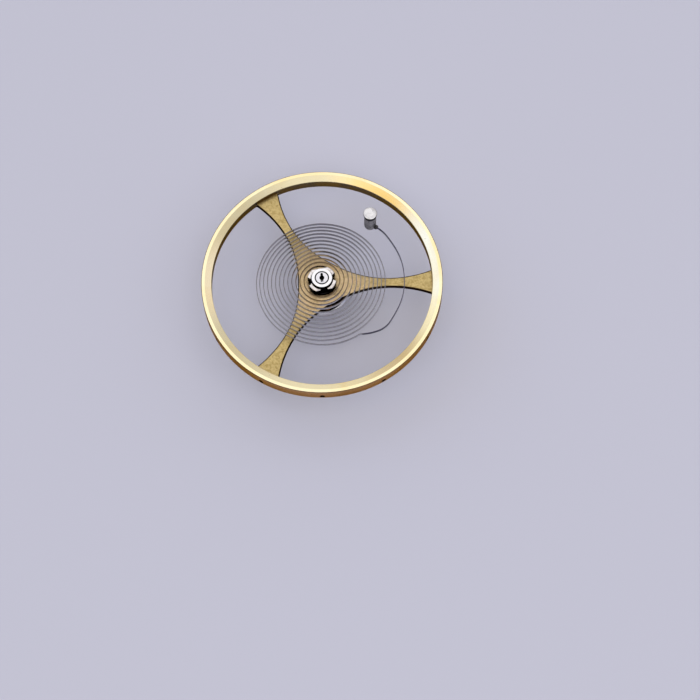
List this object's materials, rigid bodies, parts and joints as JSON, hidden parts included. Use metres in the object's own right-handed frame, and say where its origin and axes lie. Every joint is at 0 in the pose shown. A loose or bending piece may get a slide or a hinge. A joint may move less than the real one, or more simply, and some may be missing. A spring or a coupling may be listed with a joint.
{
  "type": "watch balance",
  "caption": "Complete balance of a mechanical watch: gilt wheel with waisted arms, staff, collet, flat hairspring with a stud, and a double roller with its impulse jewel.",
  "frame": {"origin": "tip of the lower pivot, on the staff's axis", "axes": "+Z along the staff towards the upper pivot, +X along one arm of the wheel"},
  "size_m": [0.01, 0.01, 0.0033],
  "materials": {
    "gilt_alloy": "gilt, polished rim and fine-grained arms",
    "polished_steel": "polished",
    "spring_alloy": "satin",
    "ruby": "polished",
    "shellac": "gloss",
    "cement": "gloss"
  },
  "bodies": {
    "fixed": {"stud": "polished_steel", "stud_cement": "cement", "hairspring": "spring_alloy"},
    "balance": {"balance_wheel": "gilt_alloy", "balance_staff": "polished_steel", "collet": "polished_steel", "roller_table": "polished_steel", "impulse_jewel": "ruby", "jewel_shellac": "shellac"}
  },
  "joints": [
    {"name": "balance_swing", "type": "hinge", "parent": "fixed", "child": "balance", "pos_m": [0, 0, 0], "axis": [0, 0, 1], "range_deg": [-315, 315], "stiffness_Nm_per_rad": 0.0000004, "deforming": ["hairspring"]}
  ]
}
